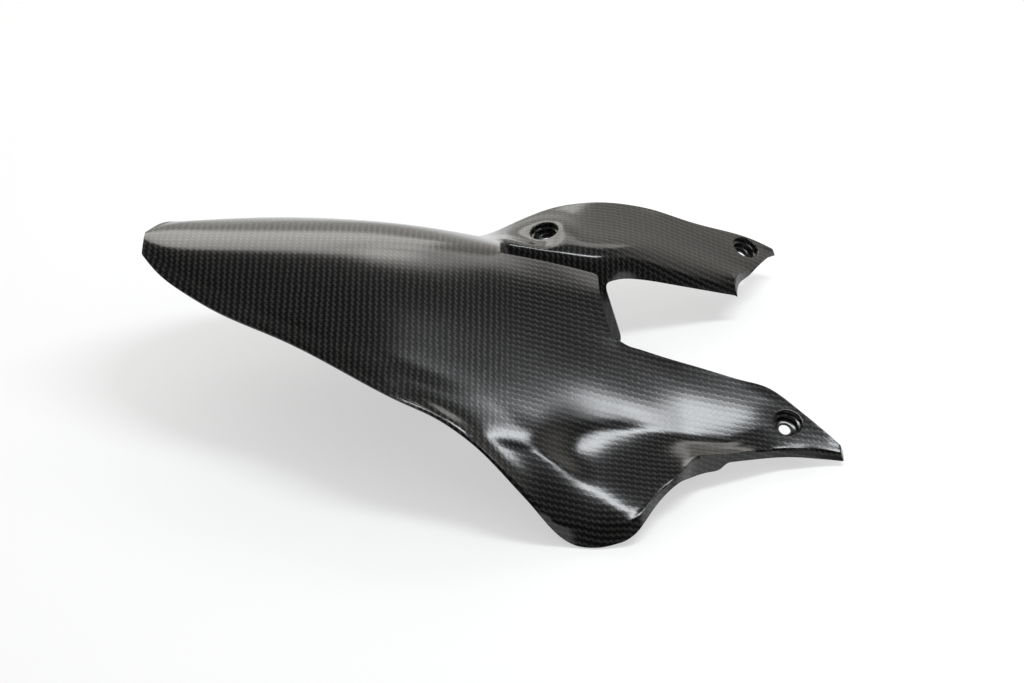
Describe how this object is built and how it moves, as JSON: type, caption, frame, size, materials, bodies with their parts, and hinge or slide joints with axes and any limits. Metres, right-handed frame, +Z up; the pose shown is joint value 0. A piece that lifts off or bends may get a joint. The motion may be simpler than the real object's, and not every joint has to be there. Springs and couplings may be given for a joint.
{
  "type": "motorcycle rear fender",
  "caption": "Glossy moulded carbon-fibre motorcycle rear hugger: a tapering arched tyre cover with a flared side flap and a pair of arms with recessed bolt seats.",
  "frame": {"origin": "middle of the near arm's bolt hole, on the hole's axis", "axes": "+X towards the bike's front, +Y towards its left, +Z up, in the pose of the picture"},
  "size_m": [0.457, 0.3101, 0.1107],
  "materials": {
    "carbon": "clear gloss lacquer over plain-weave carbon fibre"
  },
  "bodies": {
    "root": {"rear_fender": "carbon"}
  },
  "joints": []
}
